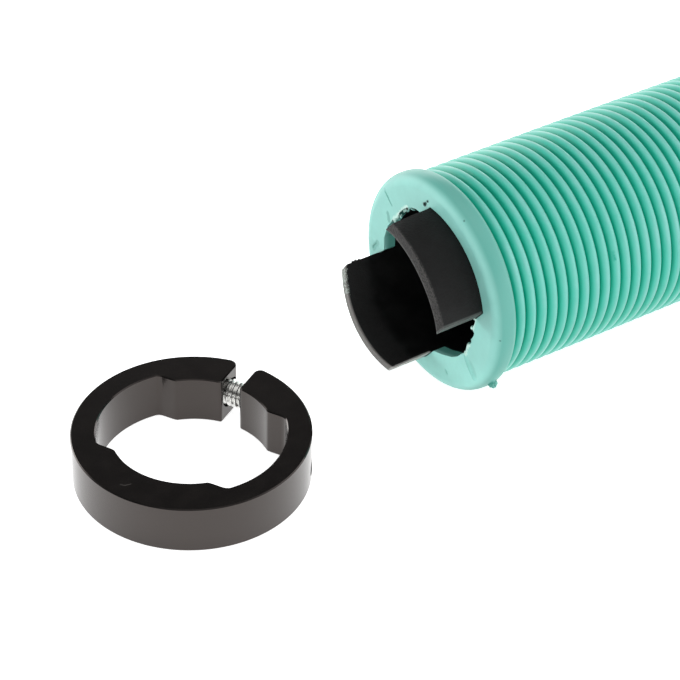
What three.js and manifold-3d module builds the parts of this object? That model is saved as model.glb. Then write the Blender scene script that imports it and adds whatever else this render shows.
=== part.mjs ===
// Lock-on handlebar grip: a ribbed rubber sleeve moulded over a hard plastic core, with its split
// clamp ring taken off and lying flat in front of the core's two drive tabs.
// Millimetres. X runs along the grip from the ring to the outer end, Z is up, and the origin is on
// the floor under the middle of the whole part.
import * as THREE from 'three';
import { mergeVertices } from 'three/addons/utils/BufferGeometryUtils.js';
import Module from 'manifold-3d';

const wasm = await Module();
wasm.setup();

// Handlebar that the grip and the ring fit
const BAR_DIAMETER = 22.2;
const BAR_CLEARANCE = 0.3;
const BORE_RADIUS = BAR_DIAMETER / 2 + BAR_CLEARANCE;

// Clearance between pieces that touch
const FIT_GAP = 0.3;

// Clamp ring
const RING_WALL = 5.6;
const RING_WIDTH = 7.45;
const RING_CHAMFER = 0.25;
const RING_RADIUS = BORE_RADIUS + RING_WALL;
const GAP_WIDTH = 3;
const GAP_TURN = THREE.MathUtils.degToRad(29.7);
const GAP_OUTER_CORNER = 1;
const GAP_INNER_CORNER = 0.4;
const RECESS_DEPTH_CLEARANCE = 0.25;
const RECESS_SIDE_CLEARANCE = 0.4;
const PAD_FILLET = 1;

// Clamp screw
const SCREW_DIAMETER = 4;
const SCREW_OFFSET = BORE_RADIUS + RING_WALL / 2;
const SHANK_LENGTH = 12;
const HEAD_DIAMETER = 5.6;
const HEAD_HEIGHT = 2.6;
const HEAD_CHAMFER = 0.3;
const HEAD_SEAT = 5.2;
const SOCKET_ACROSS_FLATS = 2.5;
const SOCKET_DEPTH = 1.6;

// Core: a tube whose inner end carries two drive tabs
const CORE_WALL = 1.8;
const CORE_RADIUS = BORE_RADIUS + CORE_WALL;
const CORE_CHAMFER = 0.25;
const TAB_WIDTH = 16.4;
const TAB_SHORTFALL = 0.1;
const TAB_LENGTH = RING_WIDTH - TAB_SHORTFALL;
const TAB_TURN = THREE.MathUtils.degToRad(128.5);

// Rubber sleeve
const SLEEVE_LENGTH = 128;
const END_WALL = 2;
const END_HOLE_CLEARANCE = 0.2;
const FLANGE_RUBBER = 3.65;
const FLANGE_RADIUS = CORE_RADIUS + FLANGE_RUBBER;
const FLANGE_WIDTH = 3.6;
const FLANGE_ROUND_DEPTH = 2;
const FLANGE_ROUND_HEIGHT = 1.8;
const FLANGE_BACK_ROUND = 1;
const RIB_PITCH = 1.92;
const RIB_DEPTH = 0.75;
const GROOVE_SHARE = 0.42;
const RUBBER_START = 2.75;
const RUBBER_FULL = 3.05;
const CREST_RADIUS_START = CORE_RADIUS + RUBBER_START;
const CREST_RADIUS_FULL = CORE_RADIUS + RUBBER_FULL;
const BARREL_LENGTH = 46;
const END_BAND_WIDTH = 4;
const END_BAND_ROUND = 1.2;

// The ring lies this far ahead of the sleeve's end face, measured from the ring's centre
const RING_AHEAD = 40.5;

// Smoothness
const SLEEVE_SIDES = 28;
const CORE_SIDES = 84;
const SCREW_SIDES = 32;
const RING_STEP = THREE.MathUtils.degToRad(6);
const FILLET_STEP = THREE.MathUtils.degToRad(22.5);
const ROUND_STEPS = 3;

const OVERALL_LENGTH = RING_RADIUS + RING_AHEAD + SLEEVE_LENGTH;
const RING_X = RING_RADIUS - OVERALL_LENGTH / 2;
const END_FACE_X = RING_X + RING_AHEAD;

const MATERIALS = {
  rubber: new THREE.MeshStandardMaterial({ color: 0x4fc9ac, roughness: 0.75, metalness: 0 }),
  plastic: new THREE.MeshStandardMaterial({ color: 0x1c1c1d, roughness: 0.6, metalness: 0 }),
  anodised: new THREE.MeshStandardMaterial({ color: 0x1a1918, roughness: 0.4, metalness: 0.8 }),
  steel: new THREE.MeshStandardMaterial({ color: 0xc4c4c2, roughness: 0.3, metalness: 1 }),
};

// Turns a closed geometry into a solid that can be joined and cut.
function solidOf(geometry) {
  const bare = geometry.index ? geometry.toNonIndexed() : geometry.clone();
  bare.deleteAttribute('normal');
  bare.deleteAttribute('uv');
  const merged = mergeVertices(bare);
  return new wasm.Manifold(new wasm.Mesh({
    numProp: 3,
    vertProperties: merged.attributes.position.array,
    triVerts: merged.index.array,
  }));
}

// Turns a solid back into a mesh with its name and material.
function meshOf(solid, name, material) {
  const data = solid.getMesh();
  const geometry = new THREE.BufferGeometry();
  geometry.setAttribute('position', new THREE.BufferAttribute(data.vertProperties, 3));
  geometry.setIndex(new THREE.BufferAttribute(data.triVerts, 1));
  geometry.computeVertexNormals();
  const mesh = new THREE.Mesh(geometry, material);
  mesh.name = name;
  return mesh;
}

// Points along an arc, from angle start to angle end, at most step apart.
function arc(centreX, centreY, radius, start, end, step) {
  const count = Math.max(1, Math.ceil(Math.abs(end - start) / step - 1e-6));
  return Array.from({ length: count + 1 }, (_, i) => {
    const angle = start + (end - start) * i / count;
    return new THREE.Vector2(centreX + radius * Math.cos(angle), centreY + radius * Math.sin(angle));
  });
}

// A closed profile of points (distance along X, radius), turned about the X axis.
function turned(profile, sides) {
  const points = profile.map((point) => new THREE.Vector2(point.y, point.x));
  points.push(points[0].clone());
  return new THREE.LatheGeometry(points, sides).rotateZ(-Math.PI / 2);
}

// A round bar along X from one x to another.
function roundBar(radius, fromX, toX, sides) {
  return new THREE.CylinderGeometry(radius, radius, toX - fromX, sides)
    .rotateZ(-Math.PI / 2)
    .translate((fromX + toX) / 2, 0, 0);
}

// The radius of the rib crests, which swell gently over the first stretch of the sleeve.
function crestRadius(x) {
  const share = Math.min(x / BARREL_LENGTH, 1);
  const swell = Math.sin(share * Math.PI / 2);
  return CREST_RADIUS_START + (CREST_RADIUS_FULL - CREST_RADIUS_START) * swell;
}

// The flange's outline: an elliptic front edge, a narrow rim and a round back edge.
function flangeOutline() {
  const front = Array.from({ length: ROUND_STEPS + 1 }, (_, i) => {
    const angle = (Math.PI / 2) * i / ROUND_STEPS;
    const x = FLANGE_ROUND_DEPTH * (1 - Math.cos(angle));
    const radius = FLANGE_RADIUS - FLANGE_ROUND_HEIGHT * (1 - Math.sin(angle));
    return new THREE.Vector2(x, radius);
  });
  const backX = FLANGE_WIDTH - FLANGE_BACK_ROUND;
  const backRadius = FLANGE_RADIUS - FLANGE_BACK_ROUND;
  const back = arc(backX, backRadius, FLANGE_BACK_ROUND, Math.PI / 2, 0, Math.PI / 4);
  return [...front, ...back];
}

// The ribs' outline: a narrow groove, then a broad crest, over and over.
function ribOutline(firstGrooveX, count) {
  const outline = [];
  for (let i = 0; i < count; i += 1) {
    const grooveX = firstGrooveX + i * RIB_PITCH;
    const crest = crestRadius(grooveX + RIB_PITCH / 2);
    const shoulder = GROOVE_SHARE * RIB_PITCH / 2;
    outline.push(new THREE.Vector2(grooveX, crestRadius(grooveX) - RIB_DEPTH));
    outline.push(new THREE.Vector2(grooveX + shoulder, crest));
    outline.push(new THREE.Vector2(grooveX + RIB_PITCH - shoulder, crest));
  }
  const lastGrooveX = firstGrooveX + count * RIB_PITCH;
  outline.push(new THREE.Vector2(lastGrooveX, crestRadius(lastGrooveX) - RIB_DEPTH));
  return outline;
}

// The plain band at the outer end, as thick as the flange, so that the grip lies level.
function endBandOutline(startX) {
  const centreRadius = FLANGE_RADIUS - END_BAND_ROUND;
  const front = arc(startX + END_BAND_ROUND, centreRadius, END_BAND_ROUND, Math.PI, Math.PI / 2, Math.PI / 4);
  const back = arc(SLEEVE_LENGTH - END_BAND_ROUND, centreRadius, END_BAND_ROUND, Math.PI / 2, 0, Math.PI / 4);
  return [...front, ...back];
}

// A bar with two flat sides that passes the two tabs, along X from one x to another.
function tabBar(radius, width, fromX, toX) {
  const bar = solidOf(roundBar(radius, fromX, toX, CORE_SIDES));
  const slab = new THREE.BoxGeometry(toX - fromX, 4 * radius, width).translate((fromX + toX) / 2, 0, 0);
  return bar.intersect(solidOf(slab.rotateX(TAB_TURN)));
}

function makeSleeve() {
  const firstGrooveX = FLANGE_WIDTH + GROOVE_SHARE * RIB_PITCH / 2;
  const ribCount = Math.floor((SLEEVE_LENGTH - END_BAND_WIDTH - firstGrooveX) / RIB_PITCH);
  const bandX = firstGrooveX + (ribCount + GROOVE_SHARE / 2) * RIB_PITCH;
  const flatSideSpread = 1 / Math.cos(Math.PI / SLEEVE_SIDES);
  const boreRadius = (CORE_RADIUS + FIT_GAP) * flatSideSpread;
  const holeRadius = (BORE_RADIUS + END_HOLE_CLEARANCE) * flatSideSpread;
  const profile = [
    new THREE.Vector2(END_WALL, boreRadius),
    new THREE.Vector2(END_WALL, holeRadius),
    new THREE.Vector2(0, holeRadius),
    ...flangeOutline(),
    ...ribOutline(firstGrooveX, ribCount),
    ...endBandOutline(bandX),
    new THREE.Vector2(SLEEVE_LENGTH, boreRadius),
  ];
  const body = solidOf(turned(profile, SLEEVE_SIDES));
  const tabNotch = tabBar(CORE_RADIUS + FIT_GAP, TAB_WIDTH + 2 * FIT_GAP, -END_WALL, 2 * END_WALL);
  const sleeve = meshOf(body.subtract(tabNotch), 'grip_sleeve', MATERIALS.rubber);
  sleeve.position.set(END_FACE_X, 0, FLANGE_RADIUS);
  return sleeve;
}

function makeCore() {
  const tipX = -TAB_LENGTH;
  const shoulderX = END_WALL + FIT_GAP;
  const endX = SLEEVE_LENGTH;
  const profile = [
    new THREE.Vector2(tipX, BORE_RADIUS + CORE_CHAMFER),
    new THREE.Vector2(tipX, CORE_RADIUS - CORE_CHAMFER),
    new THREE.Vector2(tipX + CORE_CHAMFER, CORE_RADIUS),
    new THREE.Vector2(endX - CORE_CHAMFER, CORE_RADIUS),
    new THREE.Vector2(endX, CORE_RADIUS - CORE_CHAMFER),
    new THREE.Vector2(endX, BORE_RADIUS + CORE_CHAMFER),
    new THREE.Vector2(endX - CORE_CHAMFER, BORE_RADIUS),
    new THREE.Vector2(tipX + CORE_CHAMFER, BORE_RADIUS),
  ];
  const tube = solidOf(turned(profile, CORE_SIDES));
  const startX = tipX - 1;
  const length = shoulderX - startX;
  const height = 2 * CORE_RADIUS;
  let body = tube;
  for (const side of [-1, 1]) {
    const away = side * (TAB_WIDTH / 2 + height / 2);
    const waste = new THREE.BoxGeometry(length, 2 * height, height)
      .translate(startX + length / 2, 0, away)
      .rotateX(TAB_TURN);
    body = body.subtract(solidOf(waste));
  }
  const core = meshOf(body, 'inner_core', MATERIALS.plastic);
  core.position.set(END_FACE_X, 0, FLANGE_RADIUS);
  return core;
}

// One quarter of the ring's inner outline, from the middle of a clamping pad to the middle of the
// recess beside it: pad arc, rounded pad corner, flat recess side, rounded recess corner, recess arc.
function innerQuarter(startAngle) {
  const recessRadius = CORE_RADIUS + RECESS_DEPTH_CLEARANCE;
  const sideX = TAB_WIDTH / 2 + RECESS_SIDE_CLEARANCE;
  const padX = sideX + PAD_FILLET;
  const padY = Math.sqrt((BORE_RADIUS + PAD_FILLET) ** 2 - padX ** 2);
  const padAngle = Math.atan2(padY, padX);
  const cornerX = sideX - PAD_FILLET;
  const cornerY = Math.sqrt((recessRadius - PAD_FILLET) ** 2 - cornerX ** 2);
  const cornerAngle = Math.atan2(cornerY, cornerX);
  return [
    ...arc(0, 0, BORE_RADIUS, startAngle, padAngle, RING_STEP),
    ...arc(padX, padY, PAD_FILLET, padAngle + Math.PI, Math.PI, FILLET_STEP).slice(1),
    ...arc(cornerX, cornerY, PAD_FILLET, 0, cornerAngle, FILLET_STEP),
    ...arc(0, 0, recessRadius, cornerAngle, Math.PI / 2, RING_STEP).slice(1),
  ];
}

function mirrored(points, signX, signY) {
  return points.map((point) => new THREE.Vector2(point.x * signX, point.y * signY));
}

// The ring's outline with its gap on +X, half of it for +Y, mirrored for -Y.
function ringOutline() {
  const half = GAP_WIDTH / 2;
  const outerY = half + GAP_OUTER_CORNER;
  const outerX = Math.sqrt((RING_RADIUS - GAP_OUTER_CORNER) ** 2 - outerY ** 2);
  const outerAngle = Math.atan2(outerY, outerX);
  const innerY = half + GAP_INNER_CORNER;
  const innerX = Math.sqrt((BORE_RADIUS + GAP_INNER_CORNER) ** 2 - innerY ** 2);
  const innerAngle = Math.atan2(innerY, innerX);
  const gapSide = [
    ...arc(innerX, innerY, GAP_INNER_CORNER, innerAngle + Math.PI, 1.5 * Math.PI, FILLET_STEP),
    ...arc(outerX, outerY, GAP_OUTER_CORNER, -Math.PI / 2, outerAngle, FILLET_STEP),
  ];
  const outer = arc(0, 0, RING_RADIUS, outerAngle, Math.PI, RING_STEP).slice(1);
  const nearPad = innerQuarter(innerAngle).slice(1);
  const farPad = mirrored(innerQuarter(0), -1, 1).reverse().slice(1);
  const inner = [...nearPad, ...farPad].reverse();
  const upper = [...inner, ...gapSide, ...outer];
  const lower = mirrored(upper, 1, -1).reverse().slice(1, -1);
  return new THREE.Shape([...upper, ...lower]);
}

// A round cutter across the ring at the screw's place, along Y from one y to another.
function screwCutter(radius, fromY, toY) {
  const cutter = new THREE.CylinderGeometry(radius, radius, toY - fromY, SCREW_SIDES)
    .translate(SCREW_OFFSET, (fromY + toY) / 2, RING_WIDTH / 2);
  return solidOf(cutter);
}

function makeRing() {
  const blank = new THREE.ExtrudeGeometry(ringOutline(), {
    depth: RING_WIDTH - 2 * RING_CHAMFER,
    bevelEnabled: true,
    bevelSegments: 1,
    bevelSize: RING_CHAMFER,
    bevelThickness: RING_CHAMFER,
    bevelOffset: -RING_CHAMFER,
  }).translate(0, 0, RING_CHAMFER);
  const shankHole = screwCutter(SCREW_DIAMETER / 2 + FIT_GAP, -RING_RADIUS, RING_RADIUS);
  const headPocket = screwCutter(HEAD_DIAMETER / 2 + FIT_GAP, HEAD_SEAT, RING_RADIUS);
  const body = solidOf(blank).subtract(shankHole).subtract(headPocket);
  const ring = meshOf(body, 'lock_ring', MATERIALS.anodised);
  ring.rotation.z = GAP_TURN;
  ring.position.set(RING_X, 0, 0);
  return ring;
}

// The screw, turned about its own axis with its head towards +X, then laid along the ring's +Y.
function makeScrew() {
  const headX = HEAD_SEAT + FIT_GAP;
  const tipX = headX - SHANK_LENGTH;
  const topX = headX + HEAD_HEIGHT;
  const shankRadius = SCREW_DIAMETER / 2;
  const headRadius = HEAD_DIAMETER / 2;
  const profile = [
    new THREE.Vector2(tipX, 0),
    new THREE.Vector2(tipX, shankRadius - HEAD_CHAMFER),
    new THREE.Vector2(tipX + HEAD_CHAMFER, shankRadius),
    new THREE.Vector2(headX, shankRadius),
    new THREE.Vector2(headX, headRadius),
    new THREE.Vector2(topX - HEAD_CHAMFER, headRadius),
    new THREE.Vector2(topX, headRadius - HEAD_CHAMFER),
    new THREE.Vector2(topX, 0),
  ];
  const points = profile.map((point) => new THREE.Vector2(point.y, point.x));
  const blank = new THREE.LatheGeometry(points, SCREW_SIDES).rotateZ(-Math.PI / 2);
  const socketRadius = SOCKET_ACROSS_FLATS / Math.sqrt(3);
  const socket = roundBar(socketRadius, topX - SOCKET_DEPTH, topX + SOCKET_DEPTH, 6);
  const screw = meshOf(solidOf(blank).subtract(solidOf(socket)), 'clamp_screw', MATERIALS.steel);
  screw.rotation.z = Math.PI / 2;
  screw.position.set(SCREW_OFFSET, 0, RING_WIDTH / 2);
  return screw;
}

const ringAndScrew = new THREE.Group();
const ring = makeRing();
const screw = makeScrew();
const screwPlace = new THREE.Group();
screwPlace.rotation.z = GAP_TURN;
screwPlace.position.set(RING_X, 0, 0);
screwPlace.add(screw);
ringAndScrew.add(ring, screwPlace);

const group = new THREE.Group();
group.add(makeSleeve(), makeCore(), ringAndScrew);

export default group;
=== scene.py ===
"""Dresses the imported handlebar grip: a ribbed rubber sleeve over a hard core with two drive tabs,
with its split clamp ring and screw lying in front of it. Lengths are in metres."""
import math
import random

import bmesh
import bpy
from bpy.props import FloatProperty, FloatVectorProperty, IntProperty, PointerProperty
from mathutils import Matrix, Vector


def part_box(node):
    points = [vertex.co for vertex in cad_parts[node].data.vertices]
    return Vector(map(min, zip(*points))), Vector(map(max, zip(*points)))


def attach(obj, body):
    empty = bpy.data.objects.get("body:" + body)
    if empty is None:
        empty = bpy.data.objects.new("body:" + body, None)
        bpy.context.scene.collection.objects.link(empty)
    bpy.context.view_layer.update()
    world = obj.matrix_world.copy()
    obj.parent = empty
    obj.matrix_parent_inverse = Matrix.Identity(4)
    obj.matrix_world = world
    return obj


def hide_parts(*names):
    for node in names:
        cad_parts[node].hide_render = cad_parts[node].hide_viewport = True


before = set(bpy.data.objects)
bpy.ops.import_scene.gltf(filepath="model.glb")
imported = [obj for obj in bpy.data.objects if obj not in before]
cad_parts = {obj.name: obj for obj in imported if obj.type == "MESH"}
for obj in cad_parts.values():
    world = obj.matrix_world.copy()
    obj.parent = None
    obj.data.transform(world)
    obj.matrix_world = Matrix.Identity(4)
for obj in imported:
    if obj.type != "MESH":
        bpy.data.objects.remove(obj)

bl_info = {
    "name": "Handlebar Grip",
    "version": (1, 0, 0),
    "blender": (4, 5, 0),
    "location": "View3D > Sidebar > Grip",
    "description": "Models a ribbed handlebar grip with its clamp ring taken off",
    "category": "Object",
}

MM = 0.001
FULL_TURN = 2 * math.pi
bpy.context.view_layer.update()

SLEEVE_LOW, SLEEVE_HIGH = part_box("grip_sleeve")
CORE_LOW, CORE_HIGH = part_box("inner_core")
RING_LOW, RING_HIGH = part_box("lock_ring")

# The grip's axis lies along X at this height, and its end face looks towards -X.
AXIS_HEIGHT = (SLEEVE_LOW.z + SLEEVE_HIGH.z) / 2
AXIS = Vector((0, 0, AXIS_HEIGHT))
END_FACE_X = SLEEVE_LOW.x
RIM_RADIUS = (SLEEVE_HIGH.z - SLEEVE_LOW.z) / 2
SLEEVE_LENGTH = SLEEVE_HIGH.x - SLEEVE_LOW.x
TAB_LENGTH = SLEEVE_LOW.x - CORE_LOW.x

# The ring lies flat, turned so that its gap looks towards its own +X.
RING_WIDTH = RING_HIGH.z - RING_LOW.z
RING_RADIUS = (RING_HIGH.y - RING_LOW.y) / 2
RING_CENTRE = Vector((RING_LOW.x + RING_RADIUS, 0, 0))
RING_TURN = math.radians(29.7)
RING_FRAME = Matrix.Translation(RING_CENTRE) @ Matrix.Rotation(RING_TURN, 4, "Z")

# The two drive tabs stand on either side of the axis, along this direction across it.
TAB_TURN = math.radians(128.5)
TAB_FRAME = Matrix.Translation(Vector((END_FACE_X, 0, AXIS_HEIGHT))) @ Matrix.Rotation(TAB_TURN, 4, "X")
# How far each tab's sides stand off the nominal ones: near tab or far tab, side, at the base, at the tip
TAB_SIDES = ((True, -1, 0.5 * MM, 0.2 * MM), (True, 1, 0.0, 0.05 * MM),
             (False, -1, 0.3 * MM, 0.5 * MM), (False, 1, 0.0, 0.0))
# How much shorter the far tab is, and how far both crowned tips fall back at their corners
FAR_TAB_SHORTER = 0.32 * MM
TIP_CROWN = 0.5 * MM

# A cutter's size where it only has to reach past what it cuts
REACH = 20 * MM
# The thickness of cut that clears a face, and the overlap that keeps two cutters from leaving a film
CLEAR = MM
OVERLAP = 0.2 * MM


# Small helpers for modelling

def stop_editing():
    if bpy.context.object and bpy.context.object.mode != "OBJECT":
        bpy.ops.object.mode_set(mode="OBJECT")


def choose(*objects):
    """Selects these objects alone and makes the first one active."""
    stop_editing()
    bpy.ops.object.select_all(action="DESELECT")
    for piece in objects:
        piece.select_set(True)
    bpy.context.view_layer.objects.active = objects[0]


def start_editing(piece):
    choose(piece)
    bpy.ops.object.mode_set(mode="EDIT")
    bpy.ops.mesh.select_mode(type="VERT")
    bpy.ops.mesh.select_all(action="DESELECT")


def pick(piece, what, wanted):
    """In edit mode, selects the vertices, edges or faces for which wanted says yes."""
    bpy.ops.mesh.select_mode(type=what)
    bpy.ops.mesh.select_all(action="DESELECT")
    mesh = bmesh.from_edit_mesh(piece.data)
    parts = {"VERT": mesh.verts, "EDGE": mesh.edges, "FACE": mesh.faces}[what]
    for part in parts:
        if wanted(part):
            part.select_set(True)
    mesh.select_flush_mode()
    bmesh.update_edit_mesh(piece.data)


def newest(name):
    """The primitive that was just added, with its place put into its mesh."""
    piece = bpy.context.object
    piece.name = name
    piece.data.name = name
    bpy.ops.object.transform_apply(location=True, rotation=True, scale=True)
    return piece


def apply_modifier(piece, kind, **settings):
    choose(piece)
    modifier = piece.modifiers.new(kind.title(), kind)
    for key, value in settings.items():
        setattr(modifier, key, value)
    bpy.ops.object.modifier_apply(modifier=modifier.name)


def combine(piece, tool, how):
    """Cuts the tool from the piece, or joins or intersects it, and removes the tool."""
    apply_modifier(piece, "BOOLEAN", object=tool, operation=how, solver="MANIFOLD")
    bpy.data.meshes.remove(tool.data)


def cut(piece, *tools):
    for tool in tools:
        combine(piece, tool, "DIFFERENCE")


def place(piece, matrix):
    """Moves the piece by a matrix and puts the move into its mesh."""
    choose(piece)
    piece.matrix_world = matrix @ piece.matrix_world
    bpy.ops.object.transform_apply(location=True, rotation=True, scale=True)
    return piece


def block(name, low, high):
    stop_editing()
    low, high = Vector(low), Vector(high)
    bpy.ops.object.select_all(action="DESELECT")
    bpy.ops.mesh.primitive_cube_add(size=1, location=(low + high) / 2)
    bpy.context.object.scale = high - low
    return newest(name)


def bar(name, radius, start, end, sides, end_radius=None):
    """A round bar from one point to another, tapered if it has an end radius."""
    stop_editing()
    start, end = Vector(start), Vector(end)
    along = end - start
    bpy.ops.object.select_all(action="DESELECT")
    bpy.ops.mesh.primitive_cone_add(vertices=sides, radius1=radius,
                                    radius2=radius if end_radius is None else end_radius,
                                    depth=along.length, location=(start + end) / 2,
                                    rotation=along.to_track_quat("Z", "Y").to_euler())
    return newest(name)


def pebble(name, centre, size, turn=(0, 0, 0), roughness=0.0, seed=1, detail=3):
    """A rounded lump or cutter of this size, its surface pushed in and out a little."""
    stop_editing()
    bpy.ops.object.select_all(action="DESELECT")
    bpy.ops.mesh.primitive_ico_sphere_add(subdivisions=detail, radius=0.5, location=centre,
                                          rotation=turn)
    bpy.context.object.scale = size
    piece = newest(name)
    if roughness:
        start_editing(piece)
        bpy.ops.mesh.select_all(action="SELECT")
        bpy.ops.transform.vertex_random(offset=roughness * min(size), uniform=0.4, normal=0.7, seed=seed)
        stop_editing()
    return piece


def draw_line(name, points):
    """A chain of edges through the points, drawn by extruding one vertex again and again."""
    stop_editing()
    bpy.ops.object.select_all(action="DESELECT")
    bpy.ops.mesh.primitive_plane_add(size=MM, enter_editmode=True)
    line = bpy.context.object
    line.name = name
    bpy.ops.mesh.merge(type="CENTER")
    bpy.ops.transform.translate(value=points[0])
    for here, there in zip(points, points[1:]):
        bpy.ops.mesh.extrude_region_move(TRANSFORM_OT_translate={"value": Vector(there) - Vector(here)})
    stop_editing()
    return line


def tidy_mesh(piece, distance=0.002 * MM):
    """Merges doubled points and turns all the faces outwards."""
    start_editing(piece)
    bpy.ops.mesh.select_all(action="SELECT")
    bpy.ops.mesh.remove_doubles(threshold=distance)
    bpy.ops.mesh.normals_make_consistent(inside=False)
    stop_editing()


def revolve(piece, steps, centre, axis):
    """Turns the piece's line a full turn about an axis."""
    start_editing(piece)
    bpy.ops.mesh.select_all(action="SELECT")
    bpy.ops.mesh.spin(steps=steps, angle=FULL_TURN, center=centre, axis=axis, use_auto_merge=True)
    tidy_mesh(piece)


def round_edges(piece, width, segments, angle=30):
    apply_modifier(piece, "BEVEL", width=width, segments=segments, limit_method="ANGLE",
                   angle_limit=math.radians(angle), harden_normals=False)


def smooth(piece, angle, weighted=False):
    """Shades smoothly below this angle; weighted keeps large flat faces flat beside small roundings."""
    choose(piece)
    bpy.ops.object.shade_smooth_by_angle(angle=math.radians(angle))
    if weighted:
        apply_modifier(piece, "WEIGHTED_NORMAL", mode="FACE_AREA", weight=60, keep_sharp=True)


def finish_piece(piece, body, stands_for, material):
    piece.data.materials.clear()
    piece.data.materials.append(material)
    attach(piece, body)
    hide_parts(stands_for)


# Small helpers for materials

def add(tree, kind, **settings):
    """A node with its properties, and the inputs that are named in `sockets`, set."""
    sockets = settings.pop("sockets", {})
    made = tree.nodes.new(kind)
    for key, value in settings.items():
        setattr(made, key, value)
    for key, value in sockets.items():
        if isinstance(value, bpy.types.NodeSocket):
            tree.links.new(value, made.inputs[key])
        else:
            made.inputs[key].default_value = value
    return made


def math_node(tree, how, *values, clamp=False):
    made = add(tree, "ShaderNodeMath", operation=how, use_clamp=clamp, sockets=dict(enumerate(values)))
    return made.outputs[0]


def vector_node(tree, how, *values, out="Vector"):
    made = add(tree, "ShaderNodeVectorMath", operation=how, sockets=dict(enumerate(values)))
    return made.outputs[out]


def scaled_range(tree, value, low, high, to_low=0.0, to_high=1.0):
    """Maps a value smoothly from one range to another, held at both ends."""
    made = add(tree, "ShaderNodeMapRange", interpolation_type="SMOOTHSTEP",
               sockets={"Value": value, "From Min": low, "From Max": high,
                        "To Min": to_low, "To Max": to_high})
    return made.outputs["Result"]


def mix_colour(tree, share, first, second):
    made = add(tree, "ShaderNodeMix", data_type="RGBA")
    for socket, value in (("Factor_Float", share), ("A_Color", first), ("B_Color", second)):
        target = next(s for s in made.inputs if s.identifier == socket)
        if isinstance(value, bpy.types.NodeSocket):
            tree.links.new(value, target)
        else:
            target.default_value = value
    return next(s for s in made.outputs if s.identifier == "Result_Color")


def new_group(name, inputs, outputs):
    """An empty shader node group with its sockets, and the two nodes at its ends."""
    tree = bpy.data.node_groups.new(name, "ShaderNodeTree")
    for label, kind, value in inputs:
        socket = tree.interface.new_socket(name=label, in_out="INPUT", socket_type=kind)
        socket.default_value = value
    for label, kind in outputs:
        tree.interface.new_socket(name=label, in_out="OUTPUT", socket_type=kind)
    return tree, tree.nodes.new("NodeGroupInput"), tree.nodes.new("NodeGroupOutput")


def grain_group():
    """Fine grain and slow blotches on Object coordinates."""
    tree, given, result = new_group(
        "Fine Grain",
        [("Grains per Metre", "NodeSocketFloat", 2500.0), ("Blotches per Metre", "NodeSocketFloat", 150.0)],
        [("Grain", "NodeSocketFloat"), ("Blotches", "NodeSocketFloat")])
    place_of = add(tree, "ShaderNodeTexCoord").outputs["Object"]
    fine = add(tree, "ShaderNodeTexNoise", sockets={
        "Vector": place_of, "Scale": given.outputs["Grains per Metre"], "Detail": 3.0, "Roughness": 0.6})
    slow = add(tree, "ShaderNodeTexNoise", sockets={
        "Vector": place_of, "Scale": given.outputs["Blotches per Metre"], "Detail": 5.0, "Roughness": 0.62})
    tree.links.new(scaled_range(tree, fine.outputs["Fac"], 0.3, 0.7), result.inputs["Grain"])
    tree.links.new(scaled_range(tree, slow.outputs["Fac"], 0.32, 0.68), result.inputs["Blotches"])
    return tree


def scuff_group():
    """A ragged mark along a straight stretch between two points."""
    tree, given, result = new_group(
        "Scuff",
        [("Start", "NodeSocketVector", (0, 0, 0)), ("End", "NodeSocketVector", (0.001, 0, 0)),
         ("Width", "NodeSocketFloat", 0.0005), ("Raggedness", "NodeSocketFloat", 0.0003)],
        [("Mask", "NodeSocketFloat")])
    place_of = add(tree, "ShaderNodeTexCoord").outputs["Object"]
    from_start = vector_node(tree, "SUBTRACT", place_of, given.outputs["Start"])
    along = vector_node(tree, "SUBTRACT", given.outputs["End"], given.outputs["Start"])
    share = math_node(tree, "DIVIDE",
                      vector_node(tree, "DOT_PRODUCT", from_start, along, out="Value"),
                      vector_node(tree, "DOT_PRODUCT", along, along, out="Value"), clamp=True)
    nearest = add(tree, "ShaderNodeVectorMath", operation="SCALE", sockets={0: along, "Scale": share})
    apart = vector_node(tree, "DISTANCE", from_start, nearest.outputs["Vector"], out="Value")
    noise = add(tree, "ShaderNodeTexNoise", sockets={"Vector": place_of, "Scale": 2600.0, "Detail": 4.0})
    wander = math_node(tree, "MULTIPLY", math_node(tree, "SUBTRACT", noise.outputs["Fac"], 0.5),
                       given.outputs["Raggedness"])
    reach = math_node(tree, "DIVIDE", math_node(tree, "ADD", apart, wander), given.outputs["Width"])
    tree.links.new(scaled_range(tree, reach, 0.35, 1.0, 1.0, 0.0), result.inputs["Mask"])
    return tree


GROUPS = {}


def use_group(tree, name, **values):
    """Places a shared group, which is built the first time that it is used."""
    makers = {"grain": grain_group, "scuff": scuff_group}
    if name not in GROUPS:
        GROUPS[name] = makers[name]()
    made = tree.nodes.new("ShaderNodeGroup")
    made.node_tree = GROUPS[name]
    for key, value in values.items():
        made.inputs[key.replace("_", " ").title().replace(" Per ", " per ")].default_value = value
    return made


def new_material(name, **shader):
    """A material with a Principled shader whose plain values are set on its own sockets."""
    material = bpy.data.materials.new(name)
    material.use_nodes = True
    tree = material.node_tree
    tree.nodes.clear()
    principled = add(tree, "ShaderNodeBsdfPrincipled", sockets=shader)
    add(tree, "ShaderNodeOutputMaterial", sockets={"Surface": principled.outputs["BSDF"]})
    return material, tree, principled


def bump(tree, principled, height, strength, distance):
    made = add(tree, "ShaderNodeBump", sockets={"Height": height, "Strength": strength,
                                                "Distance": distance})
    tree.links.new(made.outputs["Normal"], principled.inputs["Normal"])


def rgba(colour):
    return (*colour, 1.0)


def object_place(tree):
    """Object coordinates, and a node that splits them into X, Y and Z."""
    place_of = add(tree, "ShaderNodeTexCoord").outputs["Object"]
    return place_of, add(tree, "ShaderNodeSeparateXYZ", sockets={0: place_of})


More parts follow.
